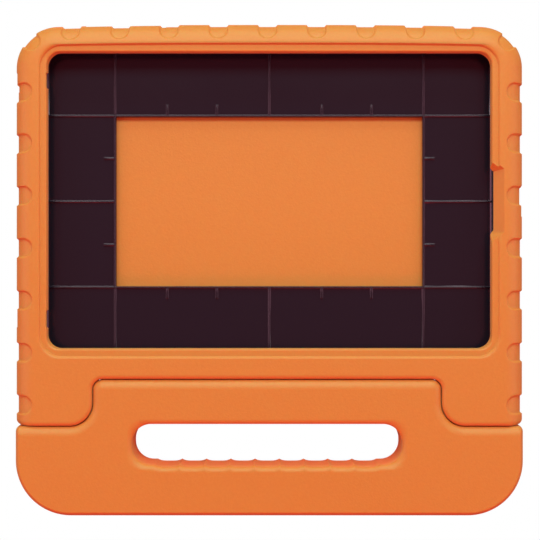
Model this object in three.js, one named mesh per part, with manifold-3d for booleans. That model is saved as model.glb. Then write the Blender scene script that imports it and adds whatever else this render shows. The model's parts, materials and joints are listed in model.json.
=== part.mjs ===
// A children's tablet case: a thick foam case with a grip border, a moulded tray in its pocket,
// and a foam handle that turns back on a steel rod to stand the case up.
// Millimetres. It lies on its back: X across, Y towards the top edge, Z out of the front face.
import * as THREE from "three";
import { mergeVertices } from "three/addons/utils/BufferGeometryUtils.js";
import Module from "manifold-3d";

// The tablet that the pocket is made for.
const tabletWidth = 200;
const tabletHeight = 134.7;
const tabletThickness = 7.5;
const tabletCornerRadius = 6.5;

// Gap between pieces that seat on each other.
const seatGap = 0.3;

// Moulded tray.
const trayTabletClearance = 0.2;
const trayWall = 1.2;
const trayFloor = 1.5;
const trayRimHeight = 5.5;
const trayRimFillet = 1.5;
const trayEdgeBreak = 0.5;
const ribWidth = 1.2;
const ribHeight = 0.7;
const frameRibHeight = 1.0;
const windowWidth = 137.6;
const windowHeight = 76;
const tickLength = 4.5;
const tickAcross = [-45.9, -23.6, 23.6, 45.9];
const tickUp = [-19.4, 19.4];

// Foam case.
const foamThickness = 24;
const foamFloor = 9;
const sideWall = 11.3;
const topWall = 9.85;
const bottomWall = 9.8;
const caseCornerRadius = 18.5;
const lobeCornerRadius = 2.5;
const borderWidth = 9.5;
const borderDrop = 10.5;
const backRounding = 1.6;
const caseSeamRounding = 2;
const lipOverhang = 2.25;
const lipMouthFlare = 0.6;
const lipCornerRadius = 6.2;
const lipDrop = 1.2;
const lipStepCornerRadius = 9.7;
const lipStepInset = 0.5;

// Grip notches round the border.
const notchWidth = 8.3;
const notchReach = 6.4;
const notchDepth = 0.9;
const topNotches = 9;
const topNotchPitch = 21.8;
const topNotchShift = -0.8;
const sideNotches = 7;
const sideNotchPitch = 23.15;
const sideNotchCentreUp = 9.6;
const cornerNotchReach = 5.4;

// Thumb relief in the right lip.
const reliefBaseX = 99.2;
const reliefTopX = 103.8;
const reliefBaseHalf = 12.9;
const reliefTopHalf = 14;
const reliefInnerX = 90;
const reliefInnerHalf = 24.5;

// Openings through the walls, where the tablet has its buttons and sockets.
const portHeight = 5;
const powerPort = { up: 52.8, length: 9 };
const headphonePort = { up: -52.4, length: 8 };
const chargePort = { up: 0, length: 14 };
const volumePort = { across: -64, length: 36 };

// Hinge between case and handle.
const knuckleRadius = 10.2;
const hingeHeight = 6;
const tongueHalf = 77;
const tongueShift = -1;
const tongueCornerRadius = 4.5;
const lobeInnerRadius = 10;
const barrelPastCorner = 5;
const rodRadius = 2;
const rodInset = 13;
const rodPastBush = 2.05;
const bushWall = 1.2;
const bushFlangeRadius = 4.5;
const bushFlange = 1.2;
const bushLength = 18;
const washerThickness = 1.2;
const washerRadius = 4.2;
const plugHeadRadius = 4.2;
const plugHead = 2;
const plugShankRadius = 3.2;
const plugRecess = 0.2;

// Handle.
const handleBar = 40.25;
const handleCornerRadius = 25;
const handleEdgeWidth = 2.8;
const handleSeamWidth = 4.4;
const handleSeamDrop = 3;
const handleRounding = 2;
const slotWidth = 119.7;
const slotHeight = 18;
const slotBelowHinge = 9.45;
const slotTopRadius = 8.6;
const slotBottomRadius = 8.4;
const slotRounding = 2.3;
const fingerDips = 9;
const fingerDipPitch = 11.05;
const fingerDipDepth = 0.9;
const fingerDipPower = 4;

// Facets of round forms.
const cornerFacets = 6;
const smallFacets = 3;
const borderFacets = 6;
const turnFacets = 24;
const knuckleFacets = 48;
const notchFacets = 8;
const dipFacets = 5;
const backShares = [0, 0.3, 1];
const filletShares = [0, 0.15, 0.5, 1];

// How far a cutting solid runs past the face that it cuts.
const overrun = 1;

// Sizes and places that follow.
const trayWidth = tabletWidth + 2 * (trayTabletClearance + trayWall);
const trayHeight = tabletHeight + 2 * (trayTabletClearance + trayWall);
const trayCornerRadius = tabletCornerRadius + trayTabletClearance + trayWall;
const pocketWidth = trayWidth + 2 * seatGap;
const pocketHeight = trayHeight + 2 * seatGap;
const clearRadius = knuckleRadius + seatGap;
const caseWidth = pocketWidth + 2 * sideWall;
const totalHeight = topWall + pocketHeight + bottomWall + 2 * clearRadius + handleBar;
const right = caseWidth / 2;
const caseTop = totalHeight / 2;
const pocketY = caseTop - topWall - pocketHeight / 2;
const recessY = caseTop - topWall - pocketHeight - bottomWall;
const hingeY = recessY - clearRadius;
const lobeBottom = hingeY - knuckleRadius;
const shoulderY = hingeY - clearRadius;
const tongueTop = hingeY + knuckleRadius;
const handleBottom = -totalHeight / 2;
const lobeInner = tongueHalf + seatGap;
const trayBase = foamFloor + seatGap;
const trayTop = trayBase + trayFloor;
const tabletBack = trayTop + frameRibHeight;
const lipBack = tabletBack + tabletThickness;
const lipFront = foamThickness - lipDrop;
const mouthWidth = tabletWidth - 2 * lipOverhang;
const mouthHeight = tabletHeight - 2 * lipOverhang;
const slotY = hingeY - slotBelowHinge - slotHeight / 2;
const rodHalf = right - rodInset;
const lobeBushEnd = rodHalf - rodPastBush;
const flangeDepth = washerThickness / 2 + seatGap + bushFlange + seatGap;

const wasm = await Module();
wasm.setup();

const foam = { color: 0xe8742f, roughness: 0.85, metalness: 0 };
const nylon = { color: 0xd9d6cc, roughness: 0.5, metalness: 0 };
const trayPlastic = { color: 0x1a161c, roughness: 0.35, metalness: 0 };
const steel = { color: 0xb8babd, roughness: 0.3, metalness: 1 };

// A closed geometry as a solid that can be cut and joined.
function solidOf(geometry) {
  geometry.deleteAttribute("normal");
  geometry.deleteAttribute("uv");
  const merged = mergeVertices(geometry);
  const vertProperties = merged.attributes.position.array;
  const triVerts = new Uint32Array(merged.index.array);
  return new wasm.Manifold(new wasm.Mesh({ numProp: 3, vertProperties, triVerts }));
}

// A solid as a named mesh with its material.
function meshOf(name, solid, look) {
  const data = solid.getMesh();
  const geometry = new THREE.BufferGeometry();
  geometry.setAttribute("position", new THREE.BufferAttribute(data.vertProperties, 3));
  geometry.setIndex(new THREE.BufferAttribute(data.triVerts, 1));
  geometry.computeVertexNormals();
  const mesh = new THREE.Mesh(geometry, new THREE.MeshStandardMaterial(look));
  mesh.name = name;
  return mesh;
}

// Where two lines meet, each given by a point and a direction.
function crossing(p, u, q, v) {
  const across = u.x * v.y - u.y * v.x;
  const along = ((q.x - p.x) * v.y - (q.y - p.y) * v.x) / across;
  return new THREE.Vector2(p.x + u.x * along, p.y + u.y * along);
}

// The outline through the corners, anticlockwise, with each corner rounded to its radius.
// insets holds how far each kind of edge moves inwards, and an edge is named by its first corner.
function outline(corners, insets = {}) {
  const count = corners.length;
  const edges = corners.map((corner, i) => {
    const next = corners[(i + 1) % count];
    const along = new THREE.Vector2(next.x - corner.x, next.y - corner.y).normalize();
    const inset = insets[corner.edge] ?? insets.all ?? 0;
    const start = new THREE.Vector2(corner.x - along.y * inset, corner.y + along.x * inset);
    return { start, along, inset };
  });
  const points = [];
  corners.forEach((corner, i) => {
    const before = edges[(i + count - 1) % count];
    const after = edges[i];
    const tip = crossing(before.start, before.along, after.start, after.along);
    const facets = corner.facets ?? cornerFacets;
    if (!corner.radius) {
      points.push(tip);
      return;
    }
    const turn = Math.atan2(before.along.cross(after.along), before.along.dot(after.along));
    const inset = Math.min(before.inset, after.inset);
    const radius = Math.max(corner.radius - Math.sign(turn) * inset, seatGap / 3);
    const tangent = radius * Math.tan(Math.abs(turn) / 2);
    const side = new THREE.Vector2(-before.along.y, before.along.x).multiplyScalar(Math.sign(turn) * radius);
    const centre = tip.clone().addScaledVector(before.along, -tangent).add(side);
    for (let k = 0; k <= facets; k++) {
      const spoke = side.clone().negate();
      spoke.rotateAround(new THREE.Vector2(), (turn * k) / facets);
      points.push(centre.clone().add(spoke));
    }
  });
  return points;
}

// A closed solid through level outlines of as many points each, from the lowest up.
function loft(levels) {
  const count = levels[0].points.length;
  const positions = levels.flatMap(({ z, points }) => points.flatMap((p) => [p.x, p.y, z]));
  const index = [];
  for (let level = 0; level + 1 < levels.length; level++)
    for (let i = 0; i < count; i++) {
      const a = level * count + i;
      const b = level * count + ((i + 1) % count);
      index.push(a, b, b + count, a, b + count, a + count);
    }
  const last = (levels.length - 1) * count;
  const capOf = (points) => THREE.ShapeUtils.triangulateShape(points.slice(), []);
  for (const [a, b, c] of capOf(levels[0].points)) index.push(c, b, a);
  for (const [a, b, c] of capOf(levels.at(-1).points)) index.push(a + last, b + last, c + last);
  const geometry = new THREE.BufferGeometry();
  geometry.setAttribute("position", new THREE.Float32BufferAttribute(positions, 3));
  geometry.setIndex(index);
  return solidOf(geometry);
}

// The corners of a rectangle, anticlockwise from its lower left.
function rectangle(width, height, centreY, radius, edge = "all", facets = cornerFacets) {
  const x = width / 2;
  const y = height / 2;
  const places = [
    [-x, centreY - y],
    [x, centreY - y],
    [x, centreY + y],
    [-x, centreY + y],
  ];
  return places.map(([px, py]) => ({ x: px, y: py, radius, edge, facets }));
}

function block(x0, x1, y0, y1, z0, z1) {
  const geometry = new THREE.BoxGeometry(x1 - x0, y1 - y0, z1 - z0);
  geometry.translate((x0 + x1) / 2, (y0 + y1) / 2, (z0 + z1) / 2);
  return solidOf(geometry);
}

// A round bar along X on the hinge line.
function hingeBar(radius, x0, x1, facets = turnFacets) {
  const geometry = new THREE.CylinderGeometry(radius, radius, Math.abs(x1 - x0), facets);
  geometry.rotateZ(Math.PI / 2);
  geometry.translate((x0 + x1) / 2, hingeY, hingeHeight);
  return solidOf(geometry);
}

// A solid turned about the hinge line, from radius and place along X.
function hingeTurned(profile, facets = turnFacets) {
  const geometry = new THREE.LatheGeometry(
    profile.map(([radius, along]) => new THREE.Vector2(radius, along)),
    facets,
  );
  geometry.rotateZ(-Math.PI / 2);
  geometry.translate(0, hingeY, hingeHeight);
  return solidOf(geometry);
}

function joined(solids) {
  return solids.reduce((all, next) => all.add(next));
}

// How far a rounded edge draws in at a height, for a quarter of an ellipse that ends at the top.
function drawIn(z, top, width, drop) {
  const rise = THREE.MathUtils.clamp((z - top + drop) / drop, 0, 1);
  return width * (1 - Math.sqrt(1 - rise * rise));
}

// Heights that share out a quarter ellipse evenly by angle.
function roundLevels(top, drop, facets) {
  return Array.from({ length: facets + 1 }, (_, k) => {
    return top - drop + drop * Math.sin((k / facets) * (Math.PI / 2));
  });
}

// The case seen from the front: border on three sides, and the lobes and recess of the hinge below.
function caseCorners() {
  const seam = { edge: "seam" };
  const lobeEdge = { radius: lobeInnerRadius, y: lobeBottom, ...seam };
  const recess = { radius: tongueCornerRadius + seatGap, facets: smallFacets, y: recessY, ...seam };
  return [
    { x: -right, y: lobeBottom, radius: lobeCornerRadius, facets: smallFacets, ...seam },
    { x: tongueShift - lobeInner, ...lobeEdge },
    { x: tongueShift - lobeInner, ...recess },
    { x: tongueShift + lobeInner, ...recess },
    { x: tongueShift + lobeInner, ...lobeEdge },
    { x: right, y: lobeBottom, radius: lobeCornerRadius, facets: smallFacets, edge: "border" },
    { x: right, y: caseTop, radius: caseCornerRadius, edge: "border" },
    { x: -right, y: caseTop, radius: caseCornerRadius, edge: "border" },
  ];
}

// The case's outer form. sunk gives the same form with its border drawn in by that much.
function caseBlank(sunk = 0) {
  const width = borderWidth - sunk;
  const drop = borderDrop - sunk;
  const top = foamThickness - sunk;
  const back = backShares.map((share) => (sunk && !share ? -overrun : share * backRounding));
  const heights = [...back, ...roundLevels(top, drop, borderFacets)];
  return loft(
    heights.map((z) => {
      const backEdge = sunk ? 0 : drawIn(-z, 0, backRounding, backRounding);
      const border = sunk + backEdge + drawIn(z, top, width, drop);
      const seam = drawIn(z, top, caseSeamRounding, caseSeamRounding);
      return { z, points: outline(caseCorners(), { border, seam }) };
    }),
  );
}

// One notch's U outline: in from the edge along the direction given, ending in a half circle.
function notchPrism(edgeX, edgeY, inX, inY, reach) {
  const half = notchWidth / 2;
  const outer = half + overrun;
  const points = [new THREE.Vector2(-outer, half), new THREE.Vector2(-outer, -half)];
  for (let k = 0; k <= notchFacets; k++) {
    const angle = -Math.PI / 2 + (Math.PI * k) / notchFacets;
    const x = reach - half + half * Math.cos(angle);
    points.push(new THREE.Vector2(x, half * Math.sin(angle)));
  }
  const turn = Math.atan2(inY, inX);
  const placed = points.map((p) => {
    const turned = p.clone().rotateAround(new THREE.Vector2(), turn);
    return turned.add(new THREE.Vector2(edgeX, edgeY));
  });
  return loft([
    { z: -overrun, points: placed },
    { z: foamThickness + overrun, points: placed },
  ]);
}

function notches() {
  const cutters = [];
  for (let k = 0; k < topNotches; k++) {
    const x = topNotchShift + (k - (topNotches - 1) / 2) * topNotchPitch;
    cutters.push(notchPrism(x, caseTop, 0, -1, notchReach));
  }
  for (let k = 0; k < sideNotches; k++) {
    const y = sideNotchCentreUp + (k - (sideNotches - 1) / 2) * sideNotchPitch;
    cutters.push(notchPrism(right, y, -1, 0, notchReach));
    cutters.push(notchPrism(-right, y, 1, 0, notchReach));
  }
  const inset = caseCornerRadius * (1 - Math.SQRT1_2);
  const diagonal = Math.SQRT1_2;
  for (const side of [-1, 1]) {
    const x = side * (right - inset);
    cutters.push(notchPrism(x, caseTop - inset, -side * diagonal, -diagonal, cornerNotchReach));
  }
  return joined(cutters).subtract(caseBlank(notchDepth));
}

// The pocket with the lip's mouth over it and the step round the lip.
function pocketCutter() {
  const pocket = rectangle(pocketWidth, pocketHeight, pocketY, trayCornerRadius + seatGap);
  const mouth = rectangle(mouthWidth, mouthHeight, pocketY, lipCornerRadius);
  const flare = lipMouthFlare;
  const step = rectangle(
    pocketWidth - 2 * lipStepInset,
    pocketHeight,
    pocketY,
    lipStepCornerRadius,
  );
  return loft([
    { z: foamFloor, points: outline(pocket) },
    { z: lipBack, points: outline(pocket) },
    { z: lipBack, points: outline(mouth) },
    { z: lipFront, points: outline(mouth, { all: -flare }) },
    { z: lipFront, points: outline(step) },
    { z: foamThickness + overrun, points: outline(step) },
  ]);
}

function reliefCutter() {
  const ring = (outerX, outerHalf, z) => {
    const places = [
      [reliefInnerX, -reliefInnerHalf],
      [outerX, -outerHalf],
      [outerX, outerHalf],
      [reliefInnerX, reliefInnerHalf],
    ];
    return { z, points: places.map(([x, y]) => new THREE.Vector2(x, pocketY + y)) };
  };
  return loft([
    ring(reliefBaseX, reliefBaseHalf, lipBack - seatGap),
    ring(reliefTopX, reliefTopHalf, foamThickness + seatGap),
  ]);
}

// The slots through the side and top walls. inner is how far in from the tray's edge they reach.
function portCutters(inner) {
  const middle = tabletBack + tabletThickness / 2;
  const z0 = middle - portHeight / 2;
  const z1 = middle + portHeight / 2;
  const sideSlot = (side, port) => {
    const x0 = side * (trayWidth / 2 - inner);
    const x1 = side * (right + overrun);
    const y = pocketY + port.up;
    return block(Math.min(x0, x1), Math.max(x0, x1), y - port.length / 2, y + port.length / 2, z0, z1);
  };
  const volumeFrom = volumePort.across - volumePort.length / 2;
  const volumeY = pocketY + trayHeight / 2 - inner;
  return joined([
    sideSlot(-1, powerPort),
    sideSlot(-1, headphonePort),
    sideSlot(1, chargePort),
    block(volumeFrom, volumeFrom + volumePort.length, volumeY, caseTop + overrun, z0, z1),
  ]);
}

// What the hinge's lobes lose behind the hinge line, so that the handle can turn back.
function lobeBackCutter() {
  const slab = block(-right - overrun, right + overrun, shoulderY - overrun, hingeY, -overrun, hingeHeight);
  const barrel = hingeBar(knuckleRadius, -right - 2 * overrun, right + 2 * overrun, knuckleFacets);
  return slab.subtract(barrel);
}

// Behind the hinge line the recess has square corners, where the tongue's end turns past them.
function recessBackCutter() {
  const left = tongueShift - lobeInner;
  return block(left, left + 2 * lobeInner, hingeY, recessY, -overrun, hingeHeight);
}

// The bores of one side of the hinge, from the washer outwards, in a lobe.
function lobeBores(side) {
  const face = tongueShift + side * lobeInner;
  const at = (out) => face + side * out;
  const headAt = side * (right - plugRecess - plugHead - seatGap);
  const rodEnd = side * (rodHalf + seatGap);
  return joined([
    hingeBar(bushFlangeRadius + seatGap, at(-overrun), at(flangeDepth)),
    hingeBar(rodRadius + seatGap + bushWall + seatGap, at(0), side * (lobeBushEnd + seatGap)),
    hingeBar(rodRadius + seatGap, at(0), rodEnd),
    hingeBar(plugShankRadius + seatGap, rodEnd, headAt),
    hingeBar(plugHeadRadius + seatGap, headAt, side * (right + overrun)),
  ]);
}

function caseFoam() {
  const barrels = [-1, 1].map((side) => {
    const inner = tongueShift + side * lobeInner;
    const outer = inner + side * (lobeInnerRadius + barrelPastCorner);
    const bar = hingeBar(knuckleRadius, inner, outer, knuckleFacets);
    return bar.intersect(block(-right, right, lobeBottom - overrun, hingeY + overrun, 0, foamThickness));
  });
  return caseBlank()
    .subtract(notches())
    .subtract(lobeBackCutter())
    .add(joined(barrels))
    .subtract(recessBackCutter())
    .subtract(pocketCutter())
    .subtract(reliefCutter())
    .subtract(portCutters(0))
    .subtract(joined([lobeBores(-1), lobeBores(1)]));
}

function rib(x0, x1, y0, y1, height) {
  return block(x0, x1, y0, y1, trayTop - trayFloor / 2, trayTop + height);
}

// The tray's grid of ribs, with the frame round its window standing a little higher.
function trayRibs() {
  const half = ribWidth / 2;
  const frameX = windowWidth / 2 + half;
  const frameY = windowHeight / 2 + half;
  const outX = trayWidth / 2 - trayWall;
  const outY = trayHeight / 2 - trayWall;
  const upright = (x, y0, y1, height) => rib(x - half, x + half, pocketY + y0, pocketY + y1, height);
  const level = (y, x0, x1, height) => rib(x0, x1, pocketY + y - half, pocketY + y + half, height);
  const ribs = [];
  for (const side of [-1, 1]) {
    ribs.push(upright(side * frameX, -outY, outY, ribHeight));
    ribs.push(upright(side * frameX, -frameY - half, frameY + half, frameRibHeight));
    ribs.push(level(side * frameY, -outX, outX, ribHeight));
    ribs.push(level(side * frameY, -frameX - half, frameX + half, frameRibHeight));
    const [y0, y1] = [side * frameY, side * outY].sort((a, b) => a - b);
    ribs.push(upright(0, y0, y1, ribHeight));
    const [x0, x1] = [side * frameX, side * outX].sort((a, b) => a - b);
    ribs.push(level(0, x0, x1, ribHeight));
    const [t0, t1] = [side * frameY, side * (frameY + half + tickLength)].sort((a, b) => a - b);
    for (const x of tickAcross) ribs.push(upright(x, t0, t1, ribHeight));
    const [s0, s1] = [side * frameX, side * (frameX + half + tickLength)].sort((a, b) => a - b);
    for (const y of tickUp) ribs.push(level(y, s0, s1, ribHeight));
  }
  return joined(ribs);
}

function tabletTray() {
  const outer = rectangle(trayWidth, trayHeight, pocketY, trayCornerRadius, "all", smallFacets + 1);
  const rimTop = trayBase + trayRimHeight;
  const pan = loft([
    { z: trayBase, points: outline(outer, { all: trayEdgeBreak }) },
    { z: trayBase + trayEdgeBreak, points: outline(outer) },
    { z: rimTop, points: outline(outer) },
  ]);
  const fillet = filletShares.map((share) => {
    const z = trayTop + trayRimFillet * share;
    const inset = trayWall + drawIn(-share, 0, trayRimFillet, 1);
    return { z, points: outline(outer, { all: inset }) };
  });
  const hollow = loft([...fillet, { z: rimTop + overrun, points: outline(outer, { all: trayWall }) }]);
  const opening = block(
    -windowWidth / 2,
    windowWidth / 2,
    pocketY - windowHeight / 2,
    pocketY + windowHeight / 2,
    0,
    foamThickness,
  );
  return pan
    .subtract(hollow)
    .add(trayRibs())
    .subtract(opening)
    .subtract(portCutters(trayWall + overrun));
}

function handleCorners() {
  const outer = { radius: handleCornerRadius, edge: "outer" };
  const shoulder = { radius: lobeInnerRadius + seatGap, y: shoulderY, edge: "seam" };
  const tip = { radius: tongueCornerRadius, facets: smallFacets, y: tongueTop, edge: "seam" };
  const end = { radius: lobeCornerRadius, facets: smallFacets, y: shoulderY };
  return [
    { x: -right, y: handleBottom, ...outer },
    { x: right, y: handleBottom, ...outer },
    { x: right, ...end, edge: "seam" },
    { x: tongueShift + tongueHalf, ...shoulder },
    { x: tongueShift + tongueHalf, ...tip },
    { x: tongueShift - tongueHalf, ...tip },
    { x: tongueShift - tongueHalf, ...shoulder },
    { x: -right, ...end, edge: "outer" },
  ];
}

function handleBlank() {
  const back = backShares.map((share) => share * handleRounding);
  const side = roundLevels(foamThickness, borderDrop, borderFacets);
  const below = side.filter((z) => z < foamThickness - handleSeamDrop);
  const heights = [...back, ...below, ...roundLevels(foamThickness, handleSeamDrop, smallFacets + 1)];
  return loft(
    heights.map((z) => {
      const front = drawIn(z, foamThickness, handleEdgeWidth, borderDrop);
      const outer = front + drawIn(-z, 0, handleRounding, handleRounding);
      const seam = drawIn(z, foamThickness, handleSeamWidth, handleSeamDrop);
      return { z, points: outline(handleCorners(), { outer, seam }) };
    }),
  );
}

// What the handle loses beside its tongue: room for the lobes' barrels, with a rounded back edge.
function lobeRoom(side) {
  const inner = tongueShift + side * tongueHalf;
  const outer = side * (right + overrun);
  const section = [];
  for (let k = 0; k <= smallFacets; k++) {
    const angle = ((Math.PI / 2) * k) / smallFacets;
    const y = shoulderY - handleRounding * (1 - Math.cos(angle));
    section.push(new THREE.Vector2(y, handleRounding * (1 - Math.sin(angle))));
  }
  section.push(new THREE.Vector2(shoulderY - handleRounding, -overrun));
  section.push(new THREE.Vector2(tongueTop, -overrun));
  section.push(new THREE.Vector2(tongueTop, hingeHeight));
  section.push(new THREE.Vector2(shoulderY, hingeHeight));
  const shape = new THREE.Shape(section);
  const geometry = new THREE.ExtrudeGeometry(shape, { depth: Math.abs(outer - inner), bevelEnabled: false });
  geometry.applyMatrix4(new THREE.Matrix4().set(0, 0, 1, Math.min(inner, outer), 1, 0, 0, 0, 0, 1, 0, 0, 0, 0, 0, 1));
  return solidOf(geometry).add(hingeBar(clearRadius, inner, outer, knuckleFacets));
}

// What the tongue loses behind the hinge line, which leaves a barrel with rounded ends.
function tongueBackCutter() {
  const r = tongueCornerRadius;
  const profile = [[0, -tongueHalf]];
  for (let k = 0; k <= smallFacets; k++) {
    const angle = ((Math.PI / 2) * k) / smallFacets;
    profile.push([knuckleRadius - r + r * Math.sin(angle), -tongueHalf + r - r * Math.cos(angle)]);
  }
  const mirrored = profile.map(([radius, along]) => [radius, -along]).reverse();
  const shifted = [...profile, ...mirrored].map(([radius, along]) => [radius, along + tongueShift]);
  const half = tongueHalf + overrun;
  const slab = block(tongueShift - half, tongueShift + half, hingeY, tongueTop + overrun, -overrun, hingeHeight);
  return slab.subtract(hingeTurned(shifted, knuckleFacets));
}

// The finger slot, with shallow dips for the fingers along its lower side.
function fingerSlot() {
  const x = slotWidth / 2;
  const low = -slotHeight / 2;
  const corners = [{ x: -x, y: low, radius: slotBottomRadius }];
  const start = (-fingerDips / 2) * fingerDipPitch;
  for (let k = 0; k < fingerDips; k++)
    for (let step = 0; step < dipFacets; step++) {
      const share = step / dipFacets;
      const dip = fingerDipDepth * (1 - (2 * share - 1) ** fingerDipPower);
      corners.push({ x: start + (k + share) * fingerDipPitch, y: low - dip });
    }
  corners.push({ x: start + fingerDips * fingerDipPitch, y: low });
  corners.push({ x, y: low, radius: slotBottomRadius });
  corners.push({ x, y: -low, radius: slotTopRadius });
  corners.push({ x: -x, y: -low, radius: slotTopRadius });
  const placed = corners.map((c) => ({ ...c, x: c.x + tongueShift, y: c.y + slotY }));
  const back = backShares.map((share) => share * handleRounding);
  const front = roundLevels(foamThickness, slotRounding, smallFacets);
  const widening = (z) =>
    drawIn(-z, 0, handleRounding, handleRounding) + drawIn(z, foamThickness, slotRounding, slotRounding);
  const heights = [-overrun, ...back, ...front, foamThickness + overrun];
  return loft(heights.map((z) => ({ z, points: outline(placed, { all: -widening(z) }) })));
}

function handleBores() {
  const bores = [hingeBar(rodRadius + seatGap, tongueShift - tongueHalf, tongueShift + tongueHalf)];
  for (const side of [-1, 1]) {
    const at = (inwards) => tongueShift + side * (tongueHalf - inwards);
    bores.push(hingeBar(bushFlangeRadius + seatGap, at(flangeDepth), at(-overrun)));
    bores.push(hingeBar(rodRadius + seatGap + bushWall + seatGap, at(flangeDepth + bushLength), at(0)));
  }
  return joined(bores);
}

function handleFoam() {
  return handleBlank()
    .subtract(joined([lobeRoom(-1), lobeRoom(1)]))
    .subtract(tongueBackCutter())
    .subtract(fingerSlot())
    .subtract(handleBores());
}

// A flanged bush: its flange's face at x, its barrel running the way of direction.
function bush(x, direction, length) {
  const bore = rodRadius + seatGap;
  const barrel = bore + bushWall;
  const along = [
    [bore, 0],
    [bushFlangeRadius, 0],
    [bushFlangeRadius, bushFlange],
    [barrel, bushFlange],
    [barrel, length],
    [bore, length],
    [bore, 0],
  ];
  const profile = along.map(([radius, depth]) => [radius, x + direction * depth]);
  return hingeTurned(direction > 0 ? profile : profile.reverse());
}

function washer(x) {
  const half = washerThickness / 2;
  const bore = rodRadius + seatGap;
  return hingeTurned([
    [bore, x - half],
    [washerRadius, x - half],
    [washerRadius, x + half],
    [bore, x + half],
    [bore, x - half],
  ]);
}

function rodPlug(side) {
  const face = right - plugRecess;
  const neck = face - plugHead;
  const inner = rodHalf + 2 * seatGap;
  const along = [
    [0, inner],
    [plugShankRadius, inner],
    [plugShankRadius, neck],
    [plugHeadRadius, neck],
    [plugHeadRadius, face],
    [0, face],
  ];
  const profile = along.map(([radius, out]) => [radius, side * out]);
  return hingeTurned(side > 0 ? profile : profile.reverse());
}

const kidsTabletCase = new THREE.Group();
kidsTabletCase.add(meshOf("case_foam", caseFoam(), foam));
kidsTabletCase.add(meshOf("tablet_tray", tabletTray(), trayPlastic));
kidsTabletCase.add(meshOf("handle_foam", handleFoam(), foam));
kidsTabletCase.add(meshOf("hinge_rod", hingeBar(rodRadius, -rodHalf, rodHalf), steel));
for (const [side, word] of [
  [-1, "left"],
  [1, "right"],
]) {
  const middle = tongueShift + side * (tongueHalf + seatGap / 2);
  const flangeFace = side * (washerThickness / 2 + seatGap);
  const lobeLength = lobeBushEnd - side * (middle + flangeFace);
  const handleLength = bushFlange + bushLength - seatGap;
  const lobeBush = bush(middle + flangeFace, side, lobeLength);
  const handleBush = bush(middle - flangeFace, -side, handleLength);
  kidsTabletCase.add(meshOf("lobe_bush_" + word, lobeBush, nylon));
  kidsTabletCase.add(meshOf("handle_bush_" + word, handleBush, nylon));
  kidsTabletCase.add(meshOf("friction_washer_" + word, washer(middle), nylon));
  kidsTabletCase.add(meshOf("rod_plug_" + word, rodPlug(side), foam));
}

export default kidsTabletCase;
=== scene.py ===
# A children's tablet case of moulded foam, with a black inner tray and a turning foam handle.
# Sizes are in millimetres unless a name says otherwise, and meshes are made in metres.
import json
import math

import bmesh
import bpy
import numpy as np
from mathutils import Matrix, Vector


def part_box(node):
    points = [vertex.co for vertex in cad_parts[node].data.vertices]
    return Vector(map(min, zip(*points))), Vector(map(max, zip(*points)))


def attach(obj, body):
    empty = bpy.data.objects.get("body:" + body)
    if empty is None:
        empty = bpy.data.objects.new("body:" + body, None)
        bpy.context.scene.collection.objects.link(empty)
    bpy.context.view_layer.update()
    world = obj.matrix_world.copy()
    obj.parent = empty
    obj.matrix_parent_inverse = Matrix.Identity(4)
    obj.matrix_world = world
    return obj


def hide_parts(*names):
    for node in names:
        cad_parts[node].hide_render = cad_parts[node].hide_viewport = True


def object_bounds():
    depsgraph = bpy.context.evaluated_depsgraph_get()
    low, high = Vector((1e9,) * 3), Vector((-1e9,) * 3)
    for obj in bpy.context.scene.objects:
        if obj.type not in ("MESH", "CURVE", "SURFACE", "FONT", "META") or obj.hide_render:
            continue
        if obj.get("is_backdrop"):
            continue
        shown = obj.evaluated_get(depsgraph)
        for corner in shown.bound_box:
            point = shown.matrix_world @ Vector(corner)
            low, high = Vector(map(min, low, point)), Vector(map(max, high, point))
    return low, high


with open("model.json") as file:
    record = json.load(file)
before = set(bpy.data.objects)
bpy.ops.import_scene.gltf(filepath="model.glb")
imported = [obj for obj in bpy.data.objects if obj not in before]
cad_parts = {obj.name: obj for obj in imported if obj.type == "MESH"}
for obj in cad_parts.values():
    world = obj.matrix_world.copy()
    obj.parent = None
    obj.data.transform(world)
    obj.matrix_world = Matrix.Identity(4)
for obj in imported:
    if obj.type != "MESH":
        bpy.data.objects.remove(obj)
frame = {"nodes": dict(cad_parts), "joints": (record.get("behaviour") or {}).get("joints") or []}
cad_low, cad_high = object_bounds()

# The camera looks straight down on the case, which lies on its back, from in front of its face.
# Its height over the face gives the photograph's perspective.
MM = 0.001
FRONT_Z = cad_high.z / MM
CAMERA_OVER_FRONT = 600.0
MM_PER_PIXEL_AT_FRONT = 0.4404
PHOTO_PIXELS = 540
CAMERA_X = 0.3
CAMERA_Y = -0.13

camera_data = bpy.data.cameras.new("camera")
camera_data.sensor_width = 36.0
view_width = MM_PER_PIXEL_AT_FRONT * PHOTO_PIXELS
camera_data.lens = camera_data.sensor_width * CAMERA_OVER_FRONT / view_width
camera = bpy.data.objects.new("camera", camera_data)
camera.location = (CAMERA_X * MM, CAMERA_Y * MM, (FRONT_Z + CAMERA_OVER_FRONT) * MM)
bpy.context.scene.collection.objects.link(camera)
bpy.context.scene.camera = camera
bpy.context.scene.view_settings.view_transform = "Standard"

# The foam case: one moulding of closed-cell foam with a fine matt skin. Its grip border has
# shallow notches, its lip holds the tablet, and two lobes below carry the handle's hinge.
case_low, case_high = (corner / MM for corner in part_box("case_foam"))
tray_low, tray_high = (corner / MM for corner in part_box("tablet_tray"))
handle_low, handle_high = (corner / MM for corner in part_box("handle_foam"))
hinge = Vector(frame["joints"][0]["pos_m"]) / MM

# The clearance between pieces, and how far a cutting tool reaches past the piece that it cuts.
SEAT_GAP = 0.3
PAST = 1.0

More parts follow.
